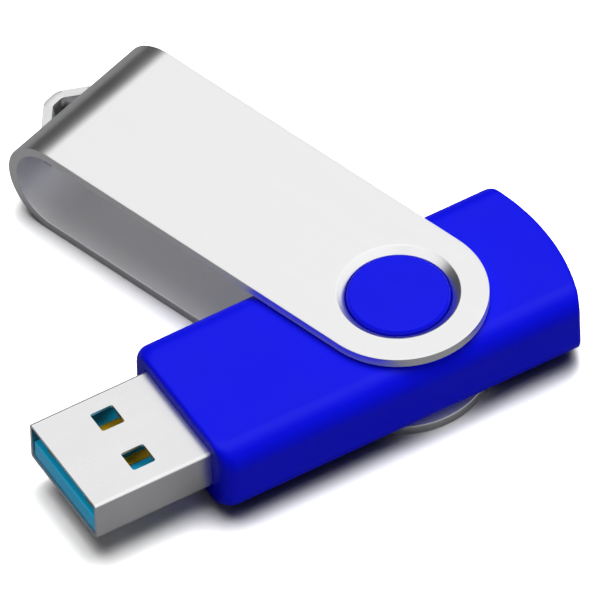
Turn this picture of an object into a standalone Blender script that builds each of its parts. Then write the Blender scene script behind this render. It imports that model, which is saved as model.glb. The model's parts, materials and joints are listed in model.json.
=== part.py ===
"""Swivel-cover USB flash drive: a two-piece case with its plug and circuit board, inside a turning clip.

Metres, +Z up, plug towards -Y. Lengths in X and Y are measured from the swivel axis, and heights from
the surface that the lower arm of the clip rests on.
"""

import math

import bmesh
import bpy
from mathutils import Matrix, Vector

MM = 0.001
GAP = 0.3 * MM  # between pieces that touch
FINE_GAP = 0.1 * MM  # between the small pieces of the plug and the board

# Clip: one strip of sheet, bent to a U, round at its two free ends
CLIP_WIDTH = 16.8 * MM
CLIP_SHEET = 1.0 * MM
CLIP_HEIGHT = 10.4 * MM
CLIP_REACH = 40.9 * MM  # swivel axis to the outside of the bend
SWING = math.radians(-72)  # turned from closed, where the bend covers the plug
HOLE_RADIUS = 5.0 * MM
COUNTERSINK = 0.75 * MM
COUNTERSINK_DEPTH = 0.6 * MM

# Key loop: a narrow strip with a blunt nose, held in a slot in the bend by its turned-out feet
LOOP_STRIP = 0.9 * MM
LOOP_HEIGHT = 2.0 * MM
LOOP_NOSE = 42.9 * MM  # swivel axis to the outside of the nose
LOOP_NOSE_HALF = 0.95 * MM
LOOP_NECK_HALF = 3.15 * MM
LOOP_FOOT_HALF = 5.2 * MM
LOOP_FOOT = 38.95 * MM
LOOP_BEND = 0.7 * MM

# Case
CLIP_PLAY = 0.2 * MM
CASE_HALF_WIDTH = 8.75 * MM
CASE_FRONT = -23.6 * MM
CASE_REAR = 16.0 * MM
CASE_BOTTOM = CLIP_SHEET + CLIP_PLAY
CASE_TOP = CLIP_HEIGHT - CASE_BOTTOM
CASE_SIDE_ROUND = 2.4 * MM
CASE_END_ROUND = 0.45 * MM
CASE_CORNER = 1.5 * MM
CASE_REAR_CORNER = 0.45 * MM
CASE_REAR_RADIUS = 22.5 * MM
CASE_WALL = 1.0 * MM
BOSS_RADIUS = HOLE_RADIUS - FINE_GAP
BOSS_ROUND = 0.3 * MM
BOSS_RECESS = 0.2 * MM
COVER_HALF_WIDTH = 6.2 * MM
COVER_REAR = 13.2 * MM
COVER_CORNER = 1.2 * MM

# Plug: standard-A size
PLUG_WIDTH = 12.0 * MM
PLUG_HEIGHT = 4.5 * MM
PLUG_SHEET = 0.3 * MM
PLUG_TIP = -35.9 * MM
PLUG_BACK = -18.3 * MM
PLUG_CENTRE = CLIP_HEIGHT / 2 + 0.3 * MM
PLUG_EDGE_ROUND = 0.32 * MM
PLUG_PLAY = 0.15 * MM
LEG_INSET = 0.03 * MM
WINDOW = 2.4 * MM
WINDOW_OFFSET = 2.8 * MM
WINDOW_FROM_TIP = 6.4 * MM
WINDOW_CORNER = 0.25 * MM
TONGUE_TOP = PLUG_CENTRE
CONTACT_WIDTH = 1.0 * MM
CONTACT_SHEET = 0.24 * MM
SPRING_WIDTH = 0.6 * MM
SPRING_SHEET = 0.2 * MM
SPRING_PITCH = 2.0 * MM
SPRING_REST = TONGUE_TOP + 0.25 * MM  # middle of the sheet, between hump and tail
CARRIER_FRONT = -24.2 * MM

# Circuit board
BOARD_HALF_WIDTH = 6.9 * MM
BOARD_FRONT = -18.0 * MM
BOARD_REAR = 12.6 * MM
BOARD_SHEET = 0.8 * MM
BOARD_CORNER = 0.6 * MM
LEG_SLOT_HALF = 0.45 * MM
BOARD_TOP = TONGUE_TOP - 0.35 * MM
BOARD_BOTTOM = BOARD_TOP - BOARD_SHEET
PRONG_FRONT = BOARD_FRONT + 1.2 * MM
PRONG_BACK = BOARD_FRONT + 2.4 * MM
POST_X = 4.9 * MM
POST_YS = (-12.4 * MM, 10.6 * MM)
POST_RADIUS = 0.7 * MM
POST_SHOULDER = POST_RADIUS + 0.5 * MM
SOCKET_RADIUS = POST_RADIUS + 0.9 * MM
POST_STEPS = 24

# Memory package, under the board
FLASH_WIDTH = 12.0 * MM
FLASH_LENGTH = 18.4 * MM
FLASH_HEIGHT = 1.0 * MM
FLASH_Y = -0.8 * MM
LEAD_COUNT = 11  # at each end
LEAD_PITCH = 1.0 * MM
LEAD_WIDTH = 0.4 * MM
LEAD_SHEET = 0.15 * MM
CHIP_CHAMFER = 0.06 * MM

ROUND_STEPS = 48
CORNER_STEPS = 6


# ------------------------------------------------------------------ tools


def clear_scene():
    for obj in list(bpy.data.objects):
        bpy.data.objects.remove(obj)


def finish(name, colour, roughness, metallic=0.0):
    """A plain material for one piece."""
    made = bpy.data.materials.new(name)
    made.use_nodes = True
    shader = made.node_tree.nodes["Principled BSDF"]
    shader.inputs["Base Color"].default_value = (*colour, 1.0)
    shader.inputs["Roughness"].default_value = roughness
    shader.inputs["Metallic"].default_value = metallic
    return made


def add_object(name, bm, parent, material=None):
    """Turns a bmesh into an object of its own. A helper has no material and stays out of renders."""
    bmesh.ops.recalc_face_normals(bm, faces=bm.faces)
    mesh = bpy.data.meshes.new(name)
    bm.to_mesh(mesh)
    bm.free()
    mesh.shade_smooth()
    mesh.set_sharp_from_angle(angle=math.radians(35))
    obj = bpy.data.objects.new(name, mesh)
    bpy.context.scene.collection.objects.link(obj)
    obj.parent = parent
    if material:
        mesh.materials.append(material)
    else:
        obj.hide_render = True
        obj.display_type = "WIRE"
    return obj


def combine(obj, other, operation):
    modifier = obj.modifiers.new(f"{operation.lower()} {other.name}", "BOOLEAN")
    modifier.operation = operation
    modifier.solver = "EXACT"
    modifier.object = other


def add_axis(name, location, turn, parent=None):
    empty = bpy.data.objects.new(name, None)
    bpy.context.scene.collection.objects.link(empty)
    empty.location = location
    empty.rotation_euler.z = turn
    empty.parent = parent
    return empty


def box(bm, low, high):
    """Adds a block between two opposite corners."""
    low, high = Vector(low), Vector(high)
    place = Matrix.Translation((low + high) / 2) @ Matrix.Diagonal((*(high - low), 1.0))
    return bmesh.ops.create_cube(bm, size=1.0, matrix=place)["verts"]


def round_uprights(bm, verts, radius):
    """Rounds the four upright edges of a block."""
    edges = {edge for vert in verts for edge in vert.link_edges}
    uprights = [edge for edge in edges if abs(edge.verts[0].co.z - edge.verts[1].co.z) > 0.1 * MM]
    bmesh.ops.bevel(
        bm, geom=uprights, affect="EDGES", offset=radius, segments=4, profile=0.5, material=-1
    )


def cylinder(bm, x, y, low, high, radius, top_radius=None, steps=ROUND_STEPS):
    """Adds an upright cylinder, or a cone frustum, between two heights."""
    return bmesh.ops.create_cone(
        bm,
        cap_ends=True,
        segments=steps,
        radius1=radius,
        radius2=radius if top_radius is None else top_radius,
        depth=high - low,
        matrix=Matrix.Translation((x, y, (low + high) / 2)),
    )["verts"]


def loft(bm, levels):
    """Grows a closed body through outlines of equal point counts, from the lowest to the highest."""
    base = face = bm.faces.new([bm.verts.new(point) for point in levels[0]])
    for level in levels[1:]:
        grown = bmesh.ops.extrude_face_region(bm, geom=[face])["geom"]
        if face is not base:
            bmesh.ops.delete(bm, geom=[face], context="FACES_ONLY")
        face = next(item for item in grown if isinstance(item, bmesh.types.BMFace))
        for vert, point in zip(face.verts, level):
            vert.co = point


def arc(centre, radius, start, end, steps):
    """Points along an arc in a plane, with the angles in degrees."""
    turns = [math.radians(start + (end - start) * step / steps) for step in range(steps + 1)]
    return [(centre[0] + radius * math.cos(t), centre[1] + radius * math.sin(t)) for t in turns]


def add_strip(name, path, across, sheet, parent, material, bend=0.0):
    """Sheet strip along an open path, as wide as the vector across. Its corners are bent round."""
    bm = bmesh.new()
    near = [bm.verts.new(Vector(point) - across / 2) for point in path]
    edges = [bm.edges.new(pair) for pair in zip(near, near[1:])]
    grown = bmesh.ops.extrude_edge_only(bm, edges=edges)["geom"]
    far = [item for item in grown if isinstance(item, bmesh.types.BMVert)]
    bmesh.ops.translate(bm, verts=far, vec=across)
    if bend:
        folds = [edge for edge in bm.edges if len(edge.link_faces) == 2]
        bmesh.ops.bevel(
            bm, geom=folds, affect="EDGES", offset=bend, segments=4, profile=0.5, material=-1
        )
    obj = add_object(name, bm, parent, material)
    wall = obj.modifiers.new("sheet", "SOLIDIFY")
    wall.thickness = sheet
    wall.offset = 0.0
    wall.use_even_offset = True
    return obj


# ------------------------------------------------------------------ clip


def make_clip(axis):
    """U-shaped cover. It is modelled closed, with the bend towards -Y, and its axis empty turns it."""
    middle = CLIP_HEIGHT / 2
    turn = (CLIP_HEIGHT - CLIP_SHEET) / 2
    bend_y = -(CLIP_REACH - middle)
    past_end = CLIP_WIDTH
    path = [(past_end, CLIP_SHEET / 2)]
    path += arc((bend_y, middle), turn, -90, -270, 20)
    path += [(past_end, CLIP_HEIGHT - CLIP_SHEET / 2)]
    across = Vector((CLIP_WIDTH + 4 * MM, 0, 0))
    metal = finish("clip aluminium", (0.80, 0.80, 0.81), 0.32, 1.0)
    clip = add_strip(
        "swivel_clip", [(0, y, z) for y, z in path], across, CLIP_SHEET, axis, metal
    )
    combine(clip, clip_outline(axis), "INTERSECT")
    combine(clip, clip_cutter(axis), "DIFFERENCE")


def clip_outline(axis):
    """The clip's shape in plan: straight sides and round free ends about the swivel axis."""
    radius = CLIP_WIDTH / 2
    plan = arc((0, 0), radius, 0, 180, ROUND_STEPS // 2)
    plan += [(-radius, -CLIP_REACH - MM), (radius, -CLIP_REACH - MM)]
    bm = bmesh.new()
    loft(bm, [[(x, y, z) for x, y in plan] for z in (-MM, CLIP_HEIGHT + MM)])
    return add_object("clip_outline", bm, axis)


def clip_cutter(axis):
    """Pivot hole, the countersinks on both outer faces, and the slot for the key loop."""
    bm = bmesh.new()
    cylinder(bm, 0, 0, -MM, CLIP_HEIGHT + MM, HOLE_RADIUS)
    wide = HOLE_RADIUS + 2 * COUNTERSINK
    deep = 2 * COUNTERSINK_DEPTH
    low = -COUNTERSINK_DEPTH
    cone = bmesh.new()
    cylinder(cone, 0, 0, low, low + deep, wide, HOLE_RADIUS)
    cylinder(cone, 0, 0, CLIP_HEIGHT - low - deep, CLIP_HEIGHT - low, HOLE_RADIUS, wide)
    sinks = add_object("clip_countersinks", cone, axis)
    slot_x = LOOP_NECK_HALF + LOOP_STRIP / 2 + GAP
    slot_z = LOOP_HEIGHT / 2 + GAP
    middle = CLIP_HEIGHT / 2
    far = -CLIP_REACH - MM
    box(bm, (-slot_x, far, middle - slot_z), (slot_x, far + 4 * MM, middle + slot_z))
    cutter = add_object("clip_cutter", bm, axis)
    combine(cutter, sinks, "UNION")
    return cutter


def make_key_loop(axis):
    half = LOOP_STRIP / 2
    nose = -LOOP_NOSE + half
    neck = -CLIP_REACH
    side = [(LOOP_FOOT_HALF, -LOOP_FOOT), (LOOP_NECK_HALF, -LOOP_FOOT), (LOOP_NECK_HALF, neck)]
    side += [(LOOP_NOSE_HALF, nose)]
    path = side + [(-x, y) for x, y in reversed(side)]
    metal = finish("loop steel", (0.82, 0.82, 0.83), 0.18, 1.0)
    add_strip(
        "key_loop",
        [(x, y, CLIP_HEIGHT / 2) for x, y in path],
        Vector((0, 0, LOOP_HEIGHT)),
        LOOP_STRIP,
        axis,
        metal,
        LOOP_BEND,
    )


# ------------------------------------------------------------------ case


def case_plan(half_width, front, rear):
    """Outline seen from above: square front with round corners, and a rear that bulges in one wide arc."""
    corner = CASE_REAR_CORNER
    centre_y = rear - CASE_REAR_RADIUS
    across = half_width - corner
    along = centre_y + math.sqrt((CASE_REAR_RADIUS - corner) ** 2 - across**2)
    meet = math.degrees(math.atan2(along - centre_y, across))
    plan = arc((across, along), corner, 0, meet, CORNER_STEPS)
    plan += arc((0, centre_y), CASE_REAR_RADIUS, meet, 180 - meet, 14)[1:-1]
    plan += arc((-across, along), corner, 180 - meet, 180, CORNER_STEPS)
    corner = CASE_CORNER
    across = half_width - corner
    plan += arc((-across, front + corner), corner, 180, 270, CORNER_STEPS)
    plan += arc((across, front + corner), corner, 270, 360, CORNER_STEPS)
    return plan


def case_solid(bm, wall=0.0):
    """The case's outer form, or with a wall the form of the space inside it."""
    side = CASE_SIDE_ROUND - wall
    end = max(CASE_END_ROUND - wall, 0.0)
    rise = (CASE_TOP - CASE_BOTTOM) / 2 - wall - side
    middle = (CASE_TOP + CASE_BOTTOM) / 2
    levels = []
    for step in range(-9, 10):
        slope = math.radians(10 * step)
        height = math.copysign(rise, step or 1) + side * math.sin(slope)
        below = side * (1 - abs(math.sin(slope)))
        end_inset = end - math.sqrt(max(end**2 - max(end - below, 0) ** 2, 0))
        side_inset = side * (1 - math.cos(slope))
        plan = case_plan(
            CASE_HALF_WIDTH - wall - side_inset,
            CASE_FRONT + wall + end_inset,
            CASE_REAR - wall - end_inset,
        )
        levels.append([(x, y, middle + height) for x, y in plan])
        if step == 0:
            levels.insert(-1, [(x, y, middle - height) for x, y in plan])
    loft(bm, levels)


def boss(bm, root, top):
    """Round boss with a softened rim, growing from root to top in either direction."""
    way = math.copysign(1.0, top - root)
    rim = [(BOSS_RADIUS, root)]
    for step in range(5):
        turn = math.radians(22.5 * step)
        radius = BOSS_RADIUS - BOSS_ROUND * (1 - math.cos(turn))
        rim.append((radius, top - way * BOSS_ROUND * (1 - math.sin(turn))))
    rim.sort(key=lambda point: point[1])
    loft(bm, [[(x, y, z) for x, y in arc((0, 0), r, 0, 360, ROUND_STEPS)[:-1]] for r, z in rim])


def post_places():
    return [(side * POST_X, y) for y in POST_YS for side in (-1, 1)]


def cover_blank(name, play, axis, material=None):
    """Block that the bottom cover fills: its plate, and the sill that closes the front under the plug."""
    half = COVER_HALF_WIDTH + play
    sill = PLUG_WIDTH / 2 - PLUG_PLAY + play
    front = CASE_FRONT - MM
    bm = bmesh.new()
    corner = COVER_CORNER
    rear = COVER_REAR + play
    plan = arc((half - corner, rear - corner), corner, 0, 90, CORNER_STEPS)
    plan += arc((corner - half, rear - corner), corner, 90, 180, CORNER_STEPS)
    plan += [(-half, front), (half, front)]
    loft(bm, [[(x, y, z) for x, y in plan] for z in (0, CASE_BOTTOM + CASE_WALL + play / 2)])
    blank = add_object(name, bm, axis, material)
    bm = bmesh.new()
    sill_top = PLUG_CENTRE - PLUG_HEIGHT / 2 - PLUG_PLAY
    low = CASE_BOTTOM + CASE_WALL / 2
    box(bm, (-sill, front - MM, low), (sill, CASE_FRONT + CASE_WALL + play, sill_top + play))
    combine(blank, add_object("cover_sill", bm, axis), "UNION")
    return blank


def make_case_body(axis, plastic):
    """Deep shell: top, sides, rear and front, with the upper boss and the sockets for the posts."""
    bm = bmesh.new()
    case_solid(bm)
    body = add_object("case_body", bm, axis, plastic)
    bm = bmesh.new()
    case_solid(bm, CASE_WALL)
    combine(body, add_object("case_hollow", bm, axis), "DIFFERENCE")
    combine(body, cover_blank("cover_opening", GAP, axis), "DIFFERENCE")
    bm = bmesh.new()
    half = PLUG_WIDTH / 2 + PLUG_PLAY
    reach = PLUG_HEIGHT / 2 + PLUG_PLAY
    box(
        bm,
        (-half, CASE_FRONT - MM, PLUG_CENTRE - reach),
        (half, CASE_FRONT + 2 * CASE_WALL, PLUG_CENTRE + reach),
    )
    combine(body, add_object("plug_opening", bm, axis), "DIFFERENCE")
    bm = bmesh.new()
    boss(bm, CASE_TOP - CASE_WALL / 2, CLIP_HEIGHT - BOSS_RECESS)
    combine(body, add_object("upper_boss", bm, axis), "UNION")
    inside_top = CASE_TOP - CASE_WALL
    for x, y in post_places():
        bm = bmesh.new()
        cylinder(bm, x, y, BOARD_TOP + GAP, inside_top + CASE_WALL / 2, SOCKET_RADIUS, steps=POST_STEPS)
        socket = add_object("post_socket", bm, axis)
        combine(body, socket, "UNION")
        bm = bmesh.new()
        cylinder(bm, x, y, BOARD_TOP - MM, inside_top, POST_RADIUS + GAP, steps=POST_STEPS)
        combine(body, add_object("post_bore", bm, axis), "DIFFERENCE")


def make_bottom_cover(axis, plastic):
    """Plate that closes the case, with the lower boss and four posts that hold the board."""
    cover = cover_blank("bottom_cover", 0.0, axis, plastic)
    bm = bmesh.new()
    case_solid(bm)
    combine(cover, add_object("cover_form", bm, axis), "INTERSECT")
    bm = bmesh.new()
    boss(bm, CASE_BOTTOM + CASE_WALL / 2, BOSS_RECESS)
    combine(cover, add_object("lower_boss", bm, axis), "UNION")
    root = CASE_BOTTOM + CASE_WALL / 2
    for x, y in post_places():
        bm = bmesh.new()
        cylinder(bm, x, y, root, BOARD_BOTTOM - GAP, POST_SHOULDER, steps=POST_STEPS)
        shoulder = add_object("post_shoulder", bm, axis)
        bm = bmesh.new()
        cylinder(bm, x, y, root, CASE_TOP - CASE_WALL - GAP, POST_RADIUS, steps=POST_STEPS)
        combine(shoulder, add_object("post_pin", bm, axis), "UNION")
        combine(cover, shoulder, "UNION")


# ------------------------------------------------------------------ plug


def rounded_section(half_width, half_height, corner):
    plan = []
    for start, x, z in ((0, 1, 1), (90, -1, 1), (180, -1, -1), (270, 1, -1)):
        centre = (x * (half_width - corner), z * (half_height - corner))
        plan += arc(centre, corner, start, start + 90, 4)
    return plan


def tube_body(bm, half_width, half_height, corner, front, back):
    section = rounded_section(half_width, half_height, corner)
    loft(bm, [[(x, y, PLUG_CENTRE + z) for x, z in section] for y in (front, back)])


def make_plug_shell(axis):
    """Folded steel tube with two windows above and two below, and a solder leg on each side."""
    half_width, half_height = PLUG_WIDTH / 2, PLUG_HEIGHT / 2
    bm = bmesh.new()
    tube_body(bm, half_width, half_height, PLUG_EDGE_ROUND, PLUG_TIP, PLUG_BACK)
    shell = add_object("plug_shell", bm, axis, finish("plug steel", (0.78, 0.78, 0.79), 0.25, 1.0))
    bm = bmesh.new()
    inner = PLUG_EDGE_ROUND - PLUG_SHEET
    tube_body(
        bm, half_width - PLUG_SHEET, half_height - PLUG_SHEET, inner, PLUG_TIP - MM, PLUG_BACK + MM
    )
    combine(shell, add_object("plug_hollow", bm, axis), "DIFFERENCE")
    y = PLUG_TIP + WINDOW_FROM_TIP
    bm = bmesh.new()
    for side in (-1, 1):
        x = side * WINDOW_OFFSET
        low = (x - WINDOW / 2, y - WINDOW / 2, PLUG_CENTRE - PLUG_HEIGHT)
        high = (x + WINDOW / 2, y + WINDOW / 2, PLUG_CENTRE + PLUG_HEIGHT)
        round_uprights(bm, box(bm, low, high), WINDOW_CORNER)
    combine(shell, add_object("plug_windows", bm, axis), "DIFFERENCE")
    for side in (-1, 1):
        bm = bmesh.new()
        outside = side * (half_width - LEG_INSET)
        inside = side * (half_width - PLUG_SHEET + LEG_INSET)
        loft(bm, [[(x, y, z) for y, z in solder_leg()] for x in (inside, outside)])
        combine(shell, add_object("solder_leg", bm, axis), "UNION")


def solder_leg():
    """Side view of one leg: an arm back over the board, and a prong down through its slot."""
    arm_low, arm_high = BOARD_TOP + GAP, BOARD_TOP + 1.5 * MM
    toe = BOARD_BOTTOM - GAP
    return [
        (PLUG_BACK - MM, arm_low),
        (PRONG_FRONT, arm_low),
        (PRONG_FRONT, toe),
        (PRONG_BACK, toe),
        (PRONG_BACK, arm_high),
        (PLUG_BACK - MM, arm_high),
    ]


def make_tongue(axis):
    """Moulded tongue in the lower half of the plug, with a groove for each flat contact."""
    half = PLUG_WIDTH / 2 - PLUG_SHEET - FINE_GAP
    low = PLUG_CENTRE - PLUG_HEIGHT / 2 + PLUG_SHEET + FINE_GAP
    front, back = PLUG_TIP + 0.15 * MM, PLUG_BACK - FINE_GAP
    nose = 0.2 * MM
    side = [(front, low + nose), (front + nose, low), (back, low), (back, TONGUE_TOP)]
    side += [(front + nose, TONGUE_TOP), (front, TONGUE_TOP - nose)]
    bm = bmesh.new()
    loft(bm, [[(x, y, z) for y, z in side] for x in (-half, half)])
    tongue = add_object("plug_tongue", bm, axis, finish("tongue plastic", (0.02, 0.36, 0.50), 0.4))
    bm = bmesh.new()
    reach = CONTACT_WIDTH / 2 + FINE_GAP
    for x, start in contact_places():
        floor = TONGUE_TOP - CONTACT_SHEET - 2 * FINE_GAP
        box(bm, (x - reach, start - FINE_GAP, floor), (x + reach, back + MM, TONGUE_TOP + MM))
    combine(tongue, add_object("contact_grooves", bm, axis), "DIFFERENCE")


def contact_places():
    """Places across the tongue, and front ends, of the four flat contacts. The outer pair comes first."""
    outer, inner = PLUG_TIP + 0.8 * MM, PLUG_TIP + 2.0 * MM
    return [(-3.5 * MM, outer), (-1.0 * MM, inner), (1.0 * MM, inner), (3.5 * MM, outer)]


def make_flat_contacts(axis, gold):
    names = ("ground_contact", "data_plus_contact", "data_minus_contact", "power_contact")
    level = TONGUE_TOP - CONTACT_SHEET / 2
    dip = 0.08 * MM
    for name, (x, start) in zip(names, contact_places()):
        path = [(x, start, level - dip), (x, start + 0.5 * MM, level)]
        path += [(x, BOARD_FRONT + 1.3 * MM, level)]
        add_strip(name, path, Vector((CONTACT_WIDTH, 0, 0)), CONTACT_SHEET, axis, gold)


def make_spring_contacts(axis, gold):
    """Five narrow contacts further back: each has a raised hump, and a tail down to the board."""
    rest = SPRING_REST
    hump = rest + 0.4 * MM
    tail = BOARD_TOP + FINE_GAP + SPRING_SHEET / 2
    tip = PLUG_TIP + 8.2 * MM
    drop = BOARD_FRONT + 2.2 * MM
    side = [(tip, rest), (tip + 0.9 * MM, hump), (tip + 1.4 * MM, hump), (tip + 2.3 * MM, rest)]
    side += [(drop, rest), (drop + 0.3 * MM, tail), (drop + 1.6 * MM, tail)]
    for number in range(5):
        x = (number - 2) * SPRING_PITCH
        path = [(x, y, z) for y, z in side]
        across = Vector((SPRING_WIDTH, 0, 0))
        name = f"superspeed_contact_{number + 1}"
        add_strip(name, path, across, SPRING_SHEET, axis, gold, 0.1 * MM)


def make_contact_carrier(axis):
    """Comb-shaped block behind the mating space, which holds the spring contacts down."""
    half = PLUG_WIDTH / 2 - PLUG_SHEET - FINE_GAP
    low = TONGUE_TOP + FINE_GAP
    high = PLUG_CENTRE + PLUG_HEIGHT / 2 - PLUG_SHEET - FINE_GAP
    back = PLUG_BACK - FINE_GAP
    bm = bmesh.new()
    box(bm, (-half, CARRIER_FRONT, low), (half, back, high))
    dark = finish("carrier plastic", (0.03, 0.03, 0.035), 0.5)
    carrier = add_object("contact_carrier", bm, axis, dark)
    bm = bmesh.new()
    reach = SPRING_WIDTH / 2 + FINE_GAP
    roof = SPRING_REST + SPRING_SHEET / 2 + FINE_GAP
    for number in range(5):
        x = (number - 2) * SPRING_PITCH
        box(bm, (x - reach, CARRIER_FRONT - MM, low - MM), (x + reach, back + MM, roof))
    combine(carrier, add_object("spring_grooves", bm, axis), "DIFFERENCE")


# ------------------------------------------------------------------ board


def make_board(axis):
    """Circuit board with four post holes, and two slots for the solder legs of the plug."""
    bm = bmesh.new()
    low = (-BOARD_HALF_WIDTH, BOARD_FRONT, BOARD_BOTTOM)
    high = (BOARD_HALF_WIDTH, BOARD_REAR, BOARD_TOP)
    round_uprights(bm, box(bm, low, high), BOARD_CORNER)
    board = add_object("circuit_board", bm, axis, finish("board laminate", (0.02, 0.16, 0.07), 0.45))
    bm = bmesh.new()
    for x, y in post_places():
        cylinder(bm, x, y, BOARD_BOTTOM - MM, BOARD_TOP + MM, POST_RADIUS + GAP, steps=POST_STEPS)
    for side in (-1, 1):
        x = side * (PLUG_WIDTH - PLUG_SHEET) / 2
        low = (x - LEG_SLOT_HALF, PRONG_FRONT - GAP, BOARD_BOTTOM - MM)
        box(bm, low, (x + LEG_SLOT_HALF, PRONG_BACK + GAP, BOARD_TOP + MM))
    combine(board, add_object("board_holes", bm, axis), "DIFFERENCE")


def add_chip(name, place, size, axis, material, underside=BOARD_TOP + FINE_GAP):
    """Moulded or ceramic block with chamfered edges, soldered on the board."""
    x, y = place
    half_x, half_y = size[0] / 2, size[1] / 2
    bm = bmesh.new()
    box(bm, (x - half_x, y - half_y, underside), (x + half_x, y + half_y, underside + size[2]))
    bmesh.ops.bevel(
        bm, geom=list(bm.edges), affect="EDGES", offset=CHIP_CHAMFER, segments=1, profile=0.5, material=-1
    )
    return add_object(name, bm, axis, material)


def make_flash_chip(axis, plastic):
    """Memory package under the board: a flat body with a row of formed leads at each end."""
    underside = BOARD_BOTTOM - 2 * FINE_GAP - FLASH_HEIGHT
    size = (FLASH_WIDTH, FLASH_LENGTH, FLASH_HEIGHT)
    chip = add_chip("flash_memory_chip", (0, FLASH_Y), size, axis, plastic, underside)
    foot = BOARD_BOTTOM - FINE_GAP - LEAD_SHEET / 2
    knee = underside + FLASH_HEIGHT / 2
    across = Vector((LEAD_WIDTH, 0, 0))
    for end in (-1, 1):
        body_end = FLASH_Y + end * FLASH_LENGTH / 2
        side_view = [(body_end - end * 0.5 * MM, knee), (body_end + end * 0.3 * MM, knee)]
        side_view += [(body_end + end * 0.4 * MM, foot), (body_end + end * 0.8 * MM, foot)]
        for number in range(LEAD_COUNT):
            x = (number - (LEAD_COUNT - 1) / 2) * LEAD_PITCH
            path = [(x, along, z) for along, z in side_view]
            combine(chip, add_strip("chip_lead", path, across, LEAD_SHEET, axis, None), "UNION")


def make_components(axis):
    black = finish("package epoxy", (0.025, 0.025, 0.027), 0.55)
    tan = finish("capacitor ceramic", (0.42, 0.28, 0.16), 0.5)
    slate = finish("resistor ceramic", (0.05, 0.05, 0.055), 0.35)
    can = finish("crystal can", (0.70, 0.69, 0.66), 0.3, 1.0)
    tantalum = finish("capacitor epoxy", (0.75, 0.45, 0.05), 0.45)
    make_flash_chip(axis, black)
    mm = MM
    add_chip("controller_chip", (0, -6.6 * mm), (7 * mm, 7 * mm, 0.85 * mm), axis, black)
    add_chip("esd_protector", (0, -12.0 * mm), (2.5 * mm, 1.0 * mm, 0.5 * mm), axis, black)
    add_chip("crystal", (3.6 * mm, 0.2 * mm), (3.2 * mm, 2.5 * mm, 0.7 * mm), axis, can)
    add_chip("voltage_regulator", (-3.8 * mm, 0.2 * mm), (2.9 * mm, 1.6 * mm, 1.1 * mm), axis, black)
    add_chip("bulk_capacitor", (-3.6 * mm, 4.0 * mm), (3.2 * mm, 1.6 * mm, 1.6 * mm), axis, tantalum)
    add_chip("supply_ferrite", (0, 3.4 * mm), (1.6 * mm, 0.8 * mm, 0.8 * mm), axis, slate)
    small, large = (1.0 * mm, 0.5 * mm, 0.5 * mm), (0.8 * mm, 1.6 * mm, 0.8 * mm)
    for number, x in enumerate((-2.2, 2.2)):
        add_chip(f"coupling_capacitor_{number + 1}", (x * mm, -12.6 * mm), small, axis, tan)
    for number in range(6):
        column, row = number % 2, number // 2
        place = ((2 * column - 1) * 5.2 * mm, (-9.2 + 2.6 * row) * mm)
        add_chip(f"decoupling_capacitor_{number + 1}", place, large, axis, tan)
    for number in range(4):
        place = ((number - 1.5) * 1.6 * mm, 6.8 * mm)
        add_chip(f"resistor_{number + 1}", place, (0.8 * mm, 1.6 * mm, 0.45 * mm), axis, slate)


def main():
    clear_scene()
    pivot = add_axis("swivel_pivot", pivot_place(), 0.0)
    turned = add_axis("swivel_axis", (0, 0, 0), SWING, pivot)
    make_clip(turned)
    make_key_loop(turned)
    plastic = finish("case plastic", (0.012, 0.018, 0.80), 0.35)
    make_case_body(pivot, plastic)
    make_bottom_cover(pivot, plastic)
    make_plug_shell(pivot)
    make_tongue(pivot)
    make_contact_carrier(pivot)
    gold = finish("contact gold", (0.83, 0.60, 0.20), 0.25, 1.0)
    make_flat_contacts(pivot, gold)
    make_spring_contacts(pivot, gold)
    make_board(pivot)
    make_components(pivot)


def pivot_place():
    """Puts the middle of the whole object's box on the vertical axis of the frame. The box ends at a
    corner of the clip's bend on one side, and at the case on the other."""
    turn = abs(SWING)
    left = -(CLIP_REACH * math.sin(turn) + CLIP_WIDTH / 2 * math.cos(turn))
    right = CASE_HALF_WIDTH
    return (-(left + right) / 2, -(PLUG_TIP + CASE_REAR) / 2, 0)


main()
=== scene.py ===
"""Finished look of a swivel-cover USB flash drive: its clip, key loop, case, plug and circuit board.

Each piece is made with bmesh in metres. Its X and Y are first measured from the swivel axis, with the
plug towards -Y and the height from the surface it lies on, and the piece is then moved into place.
"""

import json
import math

import bmesh
import bpy
from bpy.props import FloatProperty, FloatVectorProperty, IntProperty, PointerProperty
from mathutils import Matrix, Vector

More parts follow.
